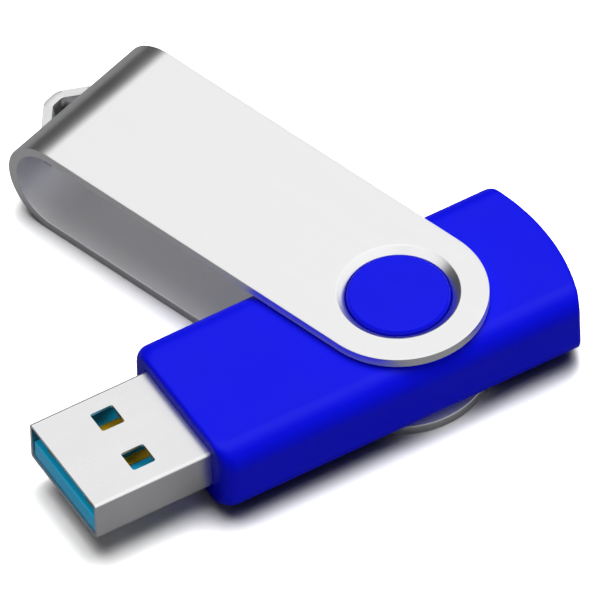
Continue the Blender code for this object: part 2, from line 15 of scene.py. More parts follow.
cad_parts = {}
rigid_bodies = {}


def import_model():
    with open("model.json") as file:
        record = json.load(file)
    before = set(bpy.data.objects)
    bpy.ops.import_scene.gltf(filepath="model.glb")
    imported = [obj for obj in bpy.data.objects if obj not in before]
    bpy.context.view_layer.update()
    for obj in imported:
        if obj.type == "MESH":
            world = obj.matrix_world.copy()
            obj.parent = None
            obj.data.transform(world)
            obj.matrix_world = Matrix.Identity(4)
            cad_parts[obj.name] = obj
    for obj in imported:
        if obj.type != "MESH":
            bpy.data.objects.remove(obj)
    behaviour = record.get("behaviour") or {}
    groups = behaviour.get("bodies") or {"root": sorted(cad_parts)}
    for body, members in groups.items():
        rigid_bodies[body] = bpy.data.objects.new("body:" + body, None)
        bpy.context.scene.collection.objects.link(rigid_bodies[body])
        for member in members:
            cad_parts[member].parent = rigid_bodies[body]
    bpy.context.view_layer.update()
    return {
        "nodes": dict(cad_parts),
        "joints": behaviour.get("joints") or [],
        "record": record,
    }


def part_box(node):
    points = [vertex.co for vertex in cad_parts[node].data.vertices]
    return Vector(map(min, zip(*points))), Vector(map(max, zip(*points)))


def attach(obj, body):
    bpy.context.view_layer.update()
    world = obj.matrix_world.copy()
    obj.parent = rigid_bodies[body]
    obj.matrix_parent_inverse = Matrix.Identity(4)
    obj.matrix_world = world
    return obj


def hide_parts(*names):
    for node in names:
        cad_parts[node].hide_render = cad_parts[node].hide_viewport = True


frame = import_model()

bl_info = {
    "name": "Swivel USB Flash Drive",
    "version": (1, 0, 0),
    "blender": (4, 5, 0),
    "location": "View3D > Sidebar > Flash Drive",
    "description": "Builds the finished pieces of a swivel-cover USB flash drive, and a studio stage",
    "category": "Add Mesh",
}

MM = 0.001
INNER_SIDE = "inner_side"
TRACK_PITCH = 1.3 * MM

# How much duller, and how metallic, the side of the sheet inside the bend is
INNER_DULLER = 0.25
INNER_METALLIC = 0.7

# The floor: how much it brightens what it shows, how near its painted contact shadow reaches, and how dark
# it is to the light that it bounces on
FLOOR_LIFT = 2.1
PAINTED_SHADOW_REACH = 2.6 * MM
FLOOR_BOUNCE = (0.27, 0.27, 0.275, 1.0)

# Lamps: bearing counted from the camera's and rise, in degrees, then diameter in metres and power in watts
LAMPS = {
    "key": (-200, 76, 0.22, 0.9),
    "side fill": (25, 25, 0.3, 1.1),
    "mouth fill": (-35, 40, 0.2, 1.4),
    "clip fill": (-35, 40, 0.2, 0.55),
}
# Sky: bearing in degrees that it leans to, counted from the camera's, amount of lean, then the heights where
# its light starts and is full. The shed light's low level is a part of the horizon's brightness.
SHED_LOW = 0.4
SHED_FADE = (-190, 0.2, 0.80, 1.0)
MIRROR_FADE = (90, 0.8, 0.40, 0.74)
# White card in the sky: bearing and rise in degrees, and the cosines at its rim and where it is full
WHITE_CARD = (-58, 46, 0.80, 0.92)

# Places taken from the frame
SWIVEL = frame["joints"][0]
PIVOT = Vector((SWIVEL["pos_m"][0], SWIVEL["pos_m"][1], 0.0))
CLIP_LOW, CLIP_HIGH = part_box("swivel_clip")
LOOP_LOW, LOOP_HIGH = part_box("key_loop")
CASE_LOW, CASE_HIGH = (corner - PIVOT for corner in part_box("case_body"))
COVER_LOW, COVER_HIGH = (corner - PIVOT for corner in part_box("bottom_cover"))
PLUG_LOW, PLUG_HIGH = (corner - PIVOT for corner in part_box("plug_shell"))
TONGUE_LOW, TONGUE_HIGH = (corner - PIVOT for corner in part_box("plug_tongue"))
CARRIER_LOW, CARRIER_HIGH = (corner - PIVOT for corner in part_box("contact_carrier"))
BOARD_LOW, BOARD_HIGH = (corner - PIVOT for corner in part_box("circuit_board"))
MOUNTS = {mount["name"]: Vector(mount["pos_m"]) for mount in frame["record"]["mounts"]}
PLUG_HEIGHT = 4.5 * MM

CLIP_HEIGHT = CLIP_HIGH.z
CASE_BOTTOM = CASE_LOW.z
CASE_TOP = CLIP_HEIGHT - CASE_BOTTOM
BOSS_RECESS = CLIP_HEIGHT - CASE_HIGH.z
PLUG_CENTRE = PLUG_HIGH.z - PLUG_HEIGHT / 2


def clip_direction():
    """Flat direction from the swivel axis along the clip, towards its bend."""
    along = MOUNTS["rest_face"] - PIVOT
    along.z = 0.0
    return along.normalized()


# ---- settings


def length(name, description, millimetres):
    return FloatProperty(
        name=name, description=description, default=millimetres * MM, unit="LENGTH", precision=5
    )


def colour(name, description, default):
    return FloatVectorProperty(
        name=name, description=description, default=default, subtype="COLOR", size=3, min=0.0, max=1.0
    )


def amount(name, description, default):
    return FloatProperty(name=name, description=description, default=default, min=0.0)


def angle(name, description, default):
    return FloatProperty(name=name, description=description, default=math.radians(default), subtype="ANGLE")


class ClipSizes(bpy.types.PropertyGroup):
    """Sizes of the bent cover and its key loop"""

    width: length("Width", "Across the strip", 16.8)
    sheet: length("Sheet", "Thickness of the strip", 1.0)
    reach: length("Reach", "From the swivel axis to the outside of the bend", 40.9)
    hole: length("Hole Radius", "Of the two pivot holes", 5.0)
    sink: length("Countersink Width", "Across the sloping ring of the countersink", 0.75)
    sink_depth: length("Countersink Depth", "Of the sloping ring", 0.6)
    edge: length("Edge Round", "Softening of the cut edges", 0.09)
    slot_play: length("Slot Play", "Gap round the key loop in its slot", 0.12)
    loop_strip: length("Loop Strip", "Thickness of the key loop", 0.9)
    loop_nose: length("Loop Reach", "From the swivel axis to the nose of the key loop", 43.15)
    loop_nose_half: length("Loop Nose", "Half the width of the blunt nose", 0.8)
    loop_neck_half: length("Loop Neck", "Half the width of the loop at the slot", 3.15)
    loop_foot_half: length("Loop Foot", "Half the width over the turned-out feet", 5.2)
    loop_foot: length("Loop Foot Place", "From the swivel axis to the feet", 38.95)
    loop_bend: length("Loop Bend", "Radius of the loop's folds", 0.36)
    loop_edge: length("Loop Edge", "Softening of the loop's long edges", 0.16)
    bend_steps: IntProperty(name="Bend Steps", description="Steps along half of the bend", default=28, min=4)
    round_steps: IntProperty(
        name="Round Steps", description="Steps round a pivot hole, a multiple of 8", default=96, min=24
    )


class CaseSizes(bpy.types.PropertyGroup):
    """Sizes of the plastic case"""

    side_round: length("Side Round", "Radius of the pillow-shaped sides", 2.4)
    end_round: length("End Round", "Radius along the front and rear edges", 0.45)
    corner: length("Front Corner", "Radius of the front corners seen from above", 1.5)
    rear_corner: length("Rear Corner", "Radius of the rear corners seen from above", 0.45)
    rear_radius: length("Rear Radius", "Radius of the wide arc of the rear", 22.5)
    wall: length("Wall", "Thickness of the case", 1.0)
    boss: length("Boss Radius", "Of the two round pivots", 4.9)
    boss_round: length("Boss Round", "Width of the softened rim of a pivot", 0.36)
    boss_drop: length("Boss Drop", "Height of the softened rim of a pivot", 0.8)
    boss_fillet: length("Boss Fillet", "Radius where a pivot grows out of the case", 0.1)
    seam: length("Seam", "Gap round the bottom cover", 0.12)
    cover_half: length("Cover Half Width", "Half the width of the bottom cover", 6.2)
    cover_corner: length("Cover Corner", "Radius of the rear corners of the cover", 1.2)
    post: length("Post Radius", "Of the four posts that hold the board", 0.7)
    post_x: length("Post Place", "From the middle of the case to a post", 4.9)
    post_front: length("Front Posts", "Front pair, from the swivel axis", -12.4)
    post_rear: length("Rear Posts", "Rear pair, from the swivel axis", 10.6)
    shoulder: length("Shoulder", "Width of the ledge of a post, under the board", 0.5)
    socket: length("Socket", "Wall and play round the top of a post", 0.9)
    play: length("Play", "Gap between a post, its socket and the board", 0.3)
    edge: length("Edge Round", "Softening of the sharp edges", 0.06)


class PlugSizes(bpy.types.PropertyGroup):
    """Sizes of the standard-A plug"""

    sheet: length("Sheet", "Thickness of the folded shell", 0.3)
    corner: length("Corner", "Outside radius of the four long edges", 0.32)
    window: length("Window", "Side of a square window", 2.4)
    window_offset: length("Window Offset", "From the middle of the plug to a window's middle", 2.8)
    window_from_tip: length("Window Place", "From the tip to a window's middle", 6.4)
    window_corner: length("Window Corner", "Corner radius of a window", 0.25)
    seam: length("Seam Width", "Width of the joint line under the plug", 0.05)
    play: length("Play", "Gap between the plug and the case", 0.12)
    key: length("Seam Key", "Half the length of the dovetail that locks the joint line", 0.7)
    key_from_tip: length("Seam Key Place", "From the tip to the middle of the dovetail", 9.6)
    key_width: length("Seam Key Width", "From the joint line to the side of the dovetail", 0.9)
    leg_front: length("Leg Front", "From the board's front edge to a solder leg", 1.2)
    leg_back: length("Leg Back", "From the board's front edge to the back of a leg", 2.4)
    leg_rise: length("Leg Rise", "From the board to the top of a leg", 1.5)
    leg_gap: length("Leg Gap", "Room between a leg's arm and the board", 0.3)
    edge: length("Edge Round", "Softening of the shell's cut edges", 0.06)
    tongue_nose: length("Tongue Nose", "Softening of the tongue's front edges", 0.16)
    tongue_edge: length("Tongue Edge", "Softening of the tongue's other edges", 0.04)
    groove_play: length("Groove Play", "Gap beside a contact in its groove", 0.06)
    groove_depth: length("Groove Depth", "From a contact's underside to the groove", 0.1)


class Finishes(bpy.types.PropertyGroup):
    """Colours of the finishes"""

    clip: colour("Clip", "Satin anodised aluminium", (0.84, 0.84, 0.845))
    loop: colour("Key Loop", "Bright plated steel", (0.72, 0.72, 0.725))
    case: colour("Case", "Satin moulded plastic", (0.0020, 0.0040, 0.73))
    plug: colour("Plug", "Plated steel", (0.82, 0.82, 0.825))
    tongue: colour("Tongue", "Moulded plastic of the tongue", (0.010, 0.43, 0.74))
    carrier: colour("Carrier", "Moulded plastic of the contact carrier", (0.03, 0.03, 0.035))
    gold: colour("Contacts", "Gold plate", (0.95, 0.62, 0.03))
    mask: colour("Solder Mask", "Lacquer over the board", (0.012, 0.13, 0.05))
    epoxy: colour("Package", "Moulded epoxy of the chips", (0.022, 0.022, 0.024))
    can: colour("Crystal Can", "Drawn metal lid", (0.66, 0.65, 0.62))
    tantalum: colour("Bulk Capacitor", "Moulded epoxy of the large capacitor", (0.72, 0.42, 0.04))
    ceramic: colour("Capacitor Body", "Fired ceramic", (0.40, 0.26, 0.15))
    glaze: colour("Resistor Body", "Dark glaze", (0.03, 0.03, 0.034))
    tin: colour("Solder Ends", "Tinned terminals", (0.62, 0.62, 0.60))


class StageSizes(bpy.types.PropertyGroup):
    """Floor, light and camera"""

    azimuth: angle("Azimuth", "Round from the plug's end", 60.93)
    elevation: angle("Elevation", "Above the floor", 48.52)
    roll: angle("Roll", "Turn about the line of sight", -2.03)
    distance: length("Distance", "From the camera to its target", 2400)
    view_width: length("View Width", "Width of the view at the target", 55.38)
    target: FloatVectorProperty(
        name="Target",
        description="Point in the middle of the view, from the swivel axis",
        default=(-7.663 * MM, -6.127 * MM, 5.5 * MM),
        subtype="TRANSLATION",
        unit="LENGTH",
    )
    floor: colour("Floor", "Pale floor", (0.98, 0.98, 0.98))
    floor_radius: length("Floor Radius", "Of the round floor", 12000)
    dome: amount("Dome", "Brightness of the sky in reflections", 1.06)
    overhead: amount("Overhead", "Brightness of the light overhead", 3.3)
    horizon: amount("Horizon", "Brightness low down", 0.05)
    lamp_distance: length("Lamp Distance", "From the object to every lamp", 600)


# ---- mesh tools


def place():
    """Moves a shape from the swivel axis to its place in the frame."""
    return Matrix.Translation(PIVOT)


def clip_place():
    """Turns a closed clip, whose bend points towards -Y, out to where it rests."""
    along = clip_direction()
    return place() @ Matrix.Rotation(math.atan2(along.y, along.x) + math.pi / 2, 4, "Z")


def make_mesh(name, bm, matrix, sharp=35.0):
    """Closes a bmesh off as a smooth-shaded mesh at its place in the frame."""
    bmesh.ops.transform(bm, matrix=matrix, verts=bm.verts)
    bmesh.ops.recalc_face_normals(bm, faces=bm.faces)
    mesh = bpy.data.meshes.new(name)
    bm.to_mesh(mesh)
    bm.free()
    mesh.shade_smooth()
    mesh.set_sharp_from_angle(angle=math.radians(sharp))
    return mesh


def add_piece(name, mesh, material, body, slot, *nodes):
    """Puts a finished mesh in the scene, riding on its body in place of its CAD nodes."""
    piece = bpy.data.objects.new(name, mesh)
    bpy.context.scene.collection.objects.link(piece)
    mesh.materials.append(material)
    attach(piece, body)
    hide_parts(*nodes)
    return piece


def soften(piece, width, limit=50.0, segments=3):
    """Rounds the sharp edges of a piece."""
    bevel = piece.modifiers.new("soft edges", "BEVEL")
    bevel.width = width
    bevel.segments = segments
    bevel.limit_method = "ANGLE"
    bevel.angle_limit = math.radians(limit)
    bevel.use_clamp_overlap = True
    flatten_shading(piece)


def flatten_shading(piece):
    """Lets the large faces rule the shading, so that they stay flat beside their rounded edges."""
    weighted = piece.modifiers.new("flat faces", "WEIGHTED_NORMAL")
    weighted.mode = "FACE_AREA"
    weighted.weight = 90
    weighted.keep_sharp = True


def combine(bm, other, operation):
    """Cuts, joins or crosses two closed shapes and gives the result as a new bmesh."""
    shapes = []
    for shape in (bm, other):
        bmesh.ops.recalc_face_normals(shape, faces=shape.faces)
        mesh = bpy.data.meshes.new("shape")
        shape.to_mesh(mesh)
        shape.free()
        shapes.append(bpy.data.objects.new("shape", mesh))
        bpy.context.scene.collection.objects.link(shapes[-1])
    first, second = shapes
    modifier = first.modifiers.new("combine", "BOOLEAN")
    modifier.operation = operation
    modifier.solver = "EXACT"
    modifier.object = second
    graph = bpy.context.evaluated_depsgraph_get()
    made = bmesh.new()
    made.from_object(first, graph)
    for obj in shapes:
        mesh = obj.data
        bpy.data.objects.remove(obj)
        bpy.data.meshes.remove(mesh)
    return made


def cut(body, *shapes):
    for shape in shapes:
        body = combine(body, shape, "DIFFERENCE")
    return body


def join(body, *shapes):
    for shape in shapes:
        body = combine(body, shape, "UNION")
    return body


def box(low, high):
    """Block between two opposite corners."""
    low, high = Vector(low), Vector(high)
    bm = bmesh.new()
    matrix = Matrix.Translation((low + high) / 2) @ Matrix.Diagonal((*(high - low), 1.0))
    bmesh.ops.create_cube(bm, size=1.0, matrix=matrix)
    return bm


def round_edges(bm, edges, offset, segments):
    bmesh.ops.bevel(
        bm, geom=list(edges), affect="EDGES", offset=offset, segments=segments, profile=0.5, material=-1
    )


def uprights(bm):
    """The edges of a block that stand upright."""
    return [edge for edge in bm.edges if abs((edge.verts[0].co - edge.verts[1].co).normalized().z) > 0.99]


def turned(profile, steps=96, x=0.0, y=0.0):
    """Closed body spun about an upright axis from a profile of (radius, height), both ends on the axis."""
    bm = bmesh.new()
    verts = [bm.verts.new((radius, 0.0, height)) for radius, height in profile]
    edges = [bm.edges.new(pair) for pair in zip(verts, verts[1:])]
    bmesh.ops.spin(
        bm, geom=verts + edges, cent=(0, 0, 0), axis=(0, 0, 1), angle=2 * math.pi, steps=steps, use_merge=True
    )
    bmesh.ops.remove_doubles(bm, verts=bm.verts, dist=1e-7)
    bmesh.ops.translate(bm, verts=bm.verts, vec=(x, y, 0))
    return bm


def loft(levels):
    """Closed body grown through outlines of equal point counts."""
    bm = bmesh.new()
    base = face = bm.faces.new([bm.verts.new(point) for point in levels[0]])
    for level in levels[1:]:
        grown = bmesh.ops.extrude_face_region(bm, geom=[face])["geom"]
        if face is not base:
            bmesh.ops.delete(bm, geom=[face], context="FACES_ONLY")
        face = next(item for item in grown if isinstance(item, bmesh.types.BMFace))
        for vert, point in zip(face.verts, level):
            vert.co = point
    return bm


def arc(centre, radius, start, end, steps):
    """Points along an arc in a plane, with the angles in degrees."""
    turns = [math.radians(start + (end - start) * step / steps) for step in range(steps + 1)]
    return [(centre[0] + radius * math.cos(t), centre[1] + radius * math.sin(t)) for t in turns]


def strip(path, across):
    """Open ribbon along a path, as wide as the vector across."""
    bm = bmesh.new()
    near = [bm.verts.new(Vector(point) - across / 2) for point in path]
    edges = [bm.edges.new(pair) for pair in zip(near, near[1:])]
    grown = bmesh.ops.extrude_edge_only(bm, edges=edges)["geom"]
    far = [item for item in grown if isinstance(item, bmesh.types.BMVert)]
    bmesh.ops.translate(bm, verts=far, vec=across)
    return bm


# ---- material tools


def feed(tree, value, socket):
    """Links a socket to an input, or sets a plain value there."""
    if isinstance(value, bpy.types.NodeSocket):
        tree.links.new(value, socket)
    else:
        socket.default_value = value


def plug_in(tree, target, **inputs):
    """Feeds the named inputs of a node."""
    for name, value in inputs.items():
        feed(tree, value, target.inputs[name.replace("_", " ")])
    return target


def add_node(tree, kind, **inputs):
    return plug_in(tree, tree.nodes.new(kind), **inputs)


def maths(tree, operation, first, second=0.0):
    made = tree.nodes.new("ShaderNodeMath")
    made.operation = operation
    feed(tree, first, made.inputs[0])
    feed(tree, second, made.inputs[1])
    return made.outputs[0]


def vector_maths(tree, operation, first, second):
    made = tree.nodes.new("ShaderNodeVectorMath")
    made.operation = operation
    feed(tree, first, made.inputs[0])
    feed(tree, second, made.inputs[1])
    return made


def remap(tree, value, low, high, new_low, new_high, smooth=False):
    """Maps a value from one range to another."""
    made = add_node(
        tree, "ShaderNodeMapRange", Value=value, From_Min=low, From_Max=high, To_Min=new_low, To_Max=new_high
    )
    made.interpolation_type = "SMOOTHSTEP" if smooth else "LINEAR"
    return made.outputs["Result"]


def mix_colours(tree, factor, first, second):
    made = tree.nodes.new("ShaderNodeMix")
    made.data_type = "RGBA"
    for index, value in ((0, factor), (6, first), (7, second)):
        feed(tree, value, made.inputs[index])
    return made.outputs[2]


def group_with(name, inputs, outputs):
    """Empty shader group with the given sockets: (tree, input node, output node)."""
    tree = bpy.data.node_groups.new(name, "ShaderNodeTree")
    for label, kind, default in inputs:
        socket = tree.interface.new_socket(label, in_out="INPUT", socket_type=kind)
        if default is not None:
            socket.default_value = default
    for label, kind in outputs:
        tree.interface.new_socket(label, in_out="OUTPUT", socket_type=kind)
    return tree, tree.nodes.new("NodeGroupInput"), tree.nodes.new("NodeGroupOutput")


def moulded_grain():
    """Fine spark-eroded texture of a mould, and the slow unevenness of a moulded or blasted surface."""
    found = bpy.data.node_groups.get("Fine grain")
    if found:
        return found
    tree, given, made = group_with(
        "Fine grain",
        (
            ("Vector", "NodeSocketVector", None),
            ("Grain Size", "NodeSocketFloat", 0.06 * MM),
            ("Patch Size", "NodeSocketFloat", 6 * MM),
        ),
        (("Grain", "NodeSocketFloat"), ("Patches", "NodeSocketFloat")),
    )
    for size, output, detail in (("Grain Size", "Grain", 2.0), ("Patch Size", "Patches", 3.0)):
        scale = maths(tree, "DIVIDE", 1.0, given.outputs[size])
        noise = add_node(tree, "ShaderNodeTexNoise", Scale=scale, Detail=detail, Roughness=0.55)
        tree.links.new(given.outputs["Vector"], noise.inputs["Vector"])
        spread = remap(tree, noise.outputs["Fac"], 0.3, 0.7, 0.0, 1.0)
        tree.links.new(spread, made.inputs[output])
    return tree


def drawn_lines():
    """Hairlines that rolling, drawing or brushing leaves in metal, all along one direction."""
    found = bpy.data.node_groups.get("Drawn lines")
    if found:
        return found
    tree, given, made = group_with(
        "Drawn lines",
        (
            ("Vector", "NodeSocketVector", None),
            ("Spacing", "NodeSocketFloat", 0.04 * MM),
            ("Stretch", "NodeSocketFloat", 40.0),
        ),
        (("Lines", "NodeSocketFloat"), ("Streaks", "NodeSocketFloat")),
    )
    drawn = maths(tree, "DIVIDE", 1.0, given.outputs["Stretch"])
    squeeze = add_node(tree, "ShaderNodeCombineXYZ", X=1.0, Y=drawn, Z=1.0)
    scaled = vector_maths(tree, "MULTIPLY", given.outputs["Vector"], squeeze.outputs[0])
    fine = maths(tree, "DIVIDE", 1.0, given.outputs["Spacing"])
    for scale, output in ((fine, "Lines"), (maths(tree, "DIVIDE", fine, 9.0), "Streaks")):
        noise = add_node(tree, "ShaderNodeTexNoise", Vector=scaled.outputs[0], Scale=scale, Detail=3.0)
        spread = remap(tree, noise.outputs["Fac"], 0.3, 0.7, 0.0, 1.0)
        tree.links.new(spread, made.inputs[output])
    return tree


def end_bands():
    """Mask that is 1 beyond a given distance from a middle point along X or Y, for terminals and stripes."""
    found = bpy.data.node_groups.get("End bands")
    if found:
        return found
    tree, given, made = group_with(
        "End bands",
        (("Along", "NodeSocketFloat", 0.0), ("Start", "NodeSocketFloat", 0.5 * MM)),
        (("Both Ends", "NodeSocketFloat"), ("One End", "NodeSocketFloat")),
    )
    for output, value in (
        ("Both Ends", maths(tree, "ABSOLUTE", given.outputs["Along"])),
        ("One End", given.outputs["Along"]),
    ):
        past = maths(tree, "SUBTRACT", value, given.outputs["Start"])
        tree.links.new(remap(tree, past, -0.02 * MM, 0.02 * MM, 0.0, 1.0), made.inputs[output])
    return tree


def new_material(name, base, roughness, metallic=0.0):
    """Material with a Principled shader: (material, tree, shader)."""
    material = bpy.data.materials.new(name)
    material.use_nodes = True
    tree = material.node_tree
    shader = tree.nodes["Principled BSDF"]
    plug_in(tree, shader, Base_Color=(*base, 1.0), Roughness=roughness, Metallic=metallic)
    return material, tree, shader


def placed_coordinates(tree, centre, turn=0.0):
    """Object coordinates counted from a point of the piece, turned about the vertical."""
    source = add_node(tree, "ShaderNodeTexCoord").outputs["Object"]
    mapping = add_node(tree, "ShaderNodeMapping", Vector=source, Location=centre, Rotation=(0.0, 0.0, turn))
    mapping.vector_type = "TEXTURE"
    return mapping.outputs["Vector"]


def use_group(tree, group, **inputs):
    made = tree.nodes.new("ShaderNodeGroup")
    made.node_tree = group
    return plug_in(tree, made, **inputs)


def shade(value, by):
    """Colour made darker or lighter by a factor."""
    return tuple(min(channel * by, 1.0) for channel in value) + (1.0,)


def add_bump(tree, shader, height, distance, strength=1.0):
    bump = add_node(tree, "ShaderNodeBump", Distance=distance, Strength=strength, Height=height)
    tree.links.new(bump.outputs["Normal"], shader.inputs["Normal"])


# ---- materials


def satin_metal(name, base, roughness, turn, grain_size=0.05 * MM):
    """Blasted and anodised sheet: fine matt grain, with a trace of the rolling lines under it."""
    material, tree, shader = new_material(name, base, roughness, 1.0)
    vector = placed_coordinates(tree, PIVOT, turn)
    grain = use_group(tree, moulded_grain(), Vector=vector, Grain_Size=grain_size, Patch_Size=9 * MM)
    lines = use_group(tree, drawn_lines(), Vector=vector, Spacing=0.12 * MM, Stretch=60.0)
    uneven = maths(tree, "ADD", grain.outputs["Patches"], lines.outputs["Streaks"])
    tint = mix_colours(
        tree, remap(tree, uneven, 0.0, 2.0, 0.0, 1.0), shade(base, 0.985), shade(base, 1.015)
    )
    inner = tree.nodes.new("ShaderNodeAttribute")
    inner.attribute_name = INNER_SIDE
    rough = remap(tree, grain.outputs["Patches"], 0.0, 1.0, roughness - 0.02, roughness + 0.02)
    rough = maths(tree, "ADD", rough, maths(tree, "MULTIPLY", inner.outputs["Fac"], INNER_DULLER))
    metallic = remap(tree, inner.outputs["Fac"], 0.0, 1.0, 1.0, INNER_METALLIC)
    plug_in(tree, shader, Base_Color=tint, Roughness=rough, Metallic=metallic)
    height = maths(tree, "ADD", grain.outputs["Grain"], maths(tree, "MULTIPLY", lines.outputs["Lines"], 0.3))
    add_bump(tree, shader, height, 0.0002 * MM)
    return material


def plated_metal(name, base, roughness, turn=0.0, spacing=0.05 * MM, metallic=1.0):
    """Plated steel with hairlines from rolling or drawing."""
    material, tree, shader = new_material(name, base, roughness, metallic)
    vector = placed_coordinates(tree, PIVOT, turn)
    lines = use_group(tree, drawn_lines(), Vector=vector, Spacing=spacing, Stretch=50.0)
    grain = use_group(tree, moulded_grain(), Vector=vector, Grain_Size=0.3 * MM, Patch_Size=4 * MM)
    tint = mix_colours(tree, grain.outputs["Patches"], shade(base, 0.97), shade(base, 1.02))
    uneven = maths(tree, "ADD", lines.outputs["Streaks"], grain.outputs["Patches"])
    rough = remap(tree, uneven, 0.0, 2.0, roughness - 0.04, roughness + 0.04)
    plug_in(tree, shader, Base_Color=tint, Roughness=rough)
    add_bump(tree, shader, lines.outputs["Lines"], 0.0001 * MM, 0.3)
    return material


def moulded_plastic(name, base, roughness, grain_size=0.07 * MM, depth=0.0015 * MM, specular=0.5):
    """Moulded plastic: fine mould texture, and slightly uneven gloss and depth of colour."""
    material, tree, shader = new_material(name, base, roughness)
    vector = placed_coordinates(tree, PIVOT)
    grain = use_group(tree, moulded_grain(), Vector=vector, Grain_Size=grain_size, Patch_Size=7 * MM)
    tint = mix_colours(tree, grain.outputs["Patches"], shade(base, 0.97), shade(base, 1.03))
    rough = remap(tree, grain.outputs["Patches"], 0.0, 1.0, roughness - 0.03, roughness + 0.03)
    plug_in(tree, shader, Base_Color=tint, Roughness=rough, Specular_IOR_Level=specular)
    add_bump(tree, shader, grain.outputs["Grain"], depth)
    return material


def board_lacquer(finishes):
    """Green solder mask over a web of copper tracks, with the bare edge of the laminate showing."""
    base = finishes.mask
    material, tree, shader = new_material("Board laminate", base, 0.35)
    vector = placed_coordinates(tree, PIVOT)
    cells = add_node(tree, "ShaderNodeTexVoronoi", Vector=vector, Scale=1 / TRACK_PITCH)
    cells.feature = "DISTANCE_TO_EDGE"
    tracks = remap(tree, cells.outputs["Distance"], 0.06, 0.09, 1.0, 0.0)
    grain = use_group(tree, moulded_grain(), Vector=vector, Grain_Size=0.15 * MM, Patch_Size=5 * MM)
    tint = mix_colours(tree, tracks, shade(base, 0.8), shade(base, 1.7))
    rough = remap(tree, grain.outputs["Patches"], 0.0, 1.0, 0.3, 0.4)
    plug_in(tree, shader, Base_Color=tint, Roughness=rough)
    add_bump(tree, shader, tracks, 0.012 * MM)
    return material


def terminal_part(name, base, tin, centre, half, along, roughness=0.45, both=True):
    """Body of a small component whose ends are tinned, or with one stripe across it."""
    material, tree, shader = new_material(name, base, roughness)
    vector = placed_coordinates(tree, centre)
    parts = add_node(tree, "ShaderNodeSeparateXYZ", Vector=vector)
    band = use_group(tree, end_bands(), Along=parts.outputs[along], Start=half * 0.62)
    mask = band.outputs["Both Ends" if both else "One End"]
    grain = use_group(tree, moulded_grain(), Vector=vector, Grain_Size=0.05 * MM, Patch_Size=0.6 * MM)
    body = mix_colours(tree, grain.outputs["Patches"], shade(base, 0.9), shade(base, 1.1))
    tint = mix_colours(tree, mask, body, (*tin, 1.0))
    plug_in(tree, shader, Base_Color=tint, Roughness=remap(tree, mask, 0.0, 1.0, roughness, 0.3))
    if both:
        tree.links.new(mask, shader.inputs["Metallic"])
    add_bump(tree, shader, grain.outputs["Grain"], 0.002 * MM)
    return material


def floor_material(shade_of_floor):
    """Pale paper, with a painted dark contact shadow. Bounced light sees it darker, as if black cards stood
    round.
    """
    material, tree, shader = new_material("Studio paper", shade_of_floor, 0.9)
    path = tree.nodes.new("ShaderNodeLightPath")
    lit = tuple(FLOOR_LIFT * channel for channel in shade_of_floor) + (1.0,)
    # Painted shade: ambient occlusion blends the paper's colour to black where the object stands close, as a
    # painted contact shadow
    covered = add_node(tree, "ShaderNodeAmbientOcclusion", Distance=PAINTED_SHADOW_REACH)
    touch = remap(tree, covered.outputs["AO"], 0.15, 0.9, 0.0, 1.0)
    paper_with_painted_shadow = mix_colours(tree, touch, (0.0, 0.0, 0.0, 1.0), lit)
    tint = mix_colours(tree, path.outputs["Is Camera Ray"], FLOOR_BOUNCE, paper_with_painted_shadow)
    plug_in(tree, shader, Base_Color=tint, Specular_IOR_Level=0.0)
    return material


# ---- clip


def end_outline(vert, half):
    """Pushes a point of the hole's ring out to the plate's edge: round past the pivot, square before it."""
    x, y = vert.co.x, vert.co.y
    reach = math.hypot(x, y) if y > 0 else max(abs(x), abs(y))
    return Vector((x, y, 0.0)) * (half / reach)


def flat_blank(sizes, half, pivot_at, bend_length, slot):
    """Stamped sheet before it is bent, with its middle on the X axis and its length along Y."""
    bm = bmesh.new()
    ring = bmesh.ops.create_circle(bm, cap_ends=False, radius=sizes.hole, segments=sizes.round_steps)
    grown = bmesh.ops.extrude_edge_only(bm, edges=bm.edges[:])["geom"]
    for vert in (item for item in grown if isinstance(item, bmesh.types.BMVert)):
        vert.co = end_outline(vert, half)
    bmesh.ops.translate(bm, verts=bm.verts, vec=(0, pivot_at, 0))
    steps = sizes.bend_steps
    stations = [bend_length * (1 - step / steps) for step in range(steps + 1)]
    edge_y = pivot_at - half
    front = [e for e in bm.edges if e.is_boundary and all(abs(v.co.y - edge_y) < 1e-8 for v in e.verts)]
    for station in stations:
        grown = bmesh.ops.extrude_edge_only(bm, edges=front)["geom"]
        front = [item for item in grown if isinstance(item, bmesh.types.BMEdge) and along_x(item)]
        for vert in {vert for edge in front for vert in edge.verts}:
            vert.co.y = station
    bmesh.ops.mirror(bm, geom=bm.verts[:] + bm.edges[:] + bm.faces[:], axis="Y", merge_dist=1e-6)
    cut_slot(bm, slot, bend_length)
    return bm


def along_x(edge):
    first, second = (vert.co for vert in edge.verts)
    return abs(first.y - second.y) < 1e-9 and abs(first.x - second.x) > 1e-9


def slice_faces(bm, faces, point, normal):
    """Divides some faces along a plane."""
    edges = dict.fromkeys(edge for face in faces for edge in face.edges)
    verts = dict.fromkeys(vert for face in faces for vert in face.verts)
    bmesh.ops.bisect_plane(bm, geom=[*verts, *edges, *faces], dist=1e-8, plane_co=point, plane_no=normal)


def cut_slot(bm, slot, bend_length):
    """Opens the slot for the key loop across the middle of the blank."""
    for axis, reach in ((0, slot[0]), (1, slot[1])):
        for side in (-1, 1):
            point, normal = [0.0, 0.0, 0.0], [0.0, 0.0, 0.0]
            point[axis], normal[axis] = side * reach, 1.0
            faces = [f for f in bm.faces if abs(f.calc_center_median().y) < bend_length]
            slice_faces(bm, faces, point, normal)
    gone = []
    for face in bm.faces:
        middle = face.calc_center_median()
        if abs(middle.x) < slot[0] and abs(middle.y) < slot[1]:
            gone.append(face)
    bmesh.ops.delete(bm, geom=gone, context="FACES")


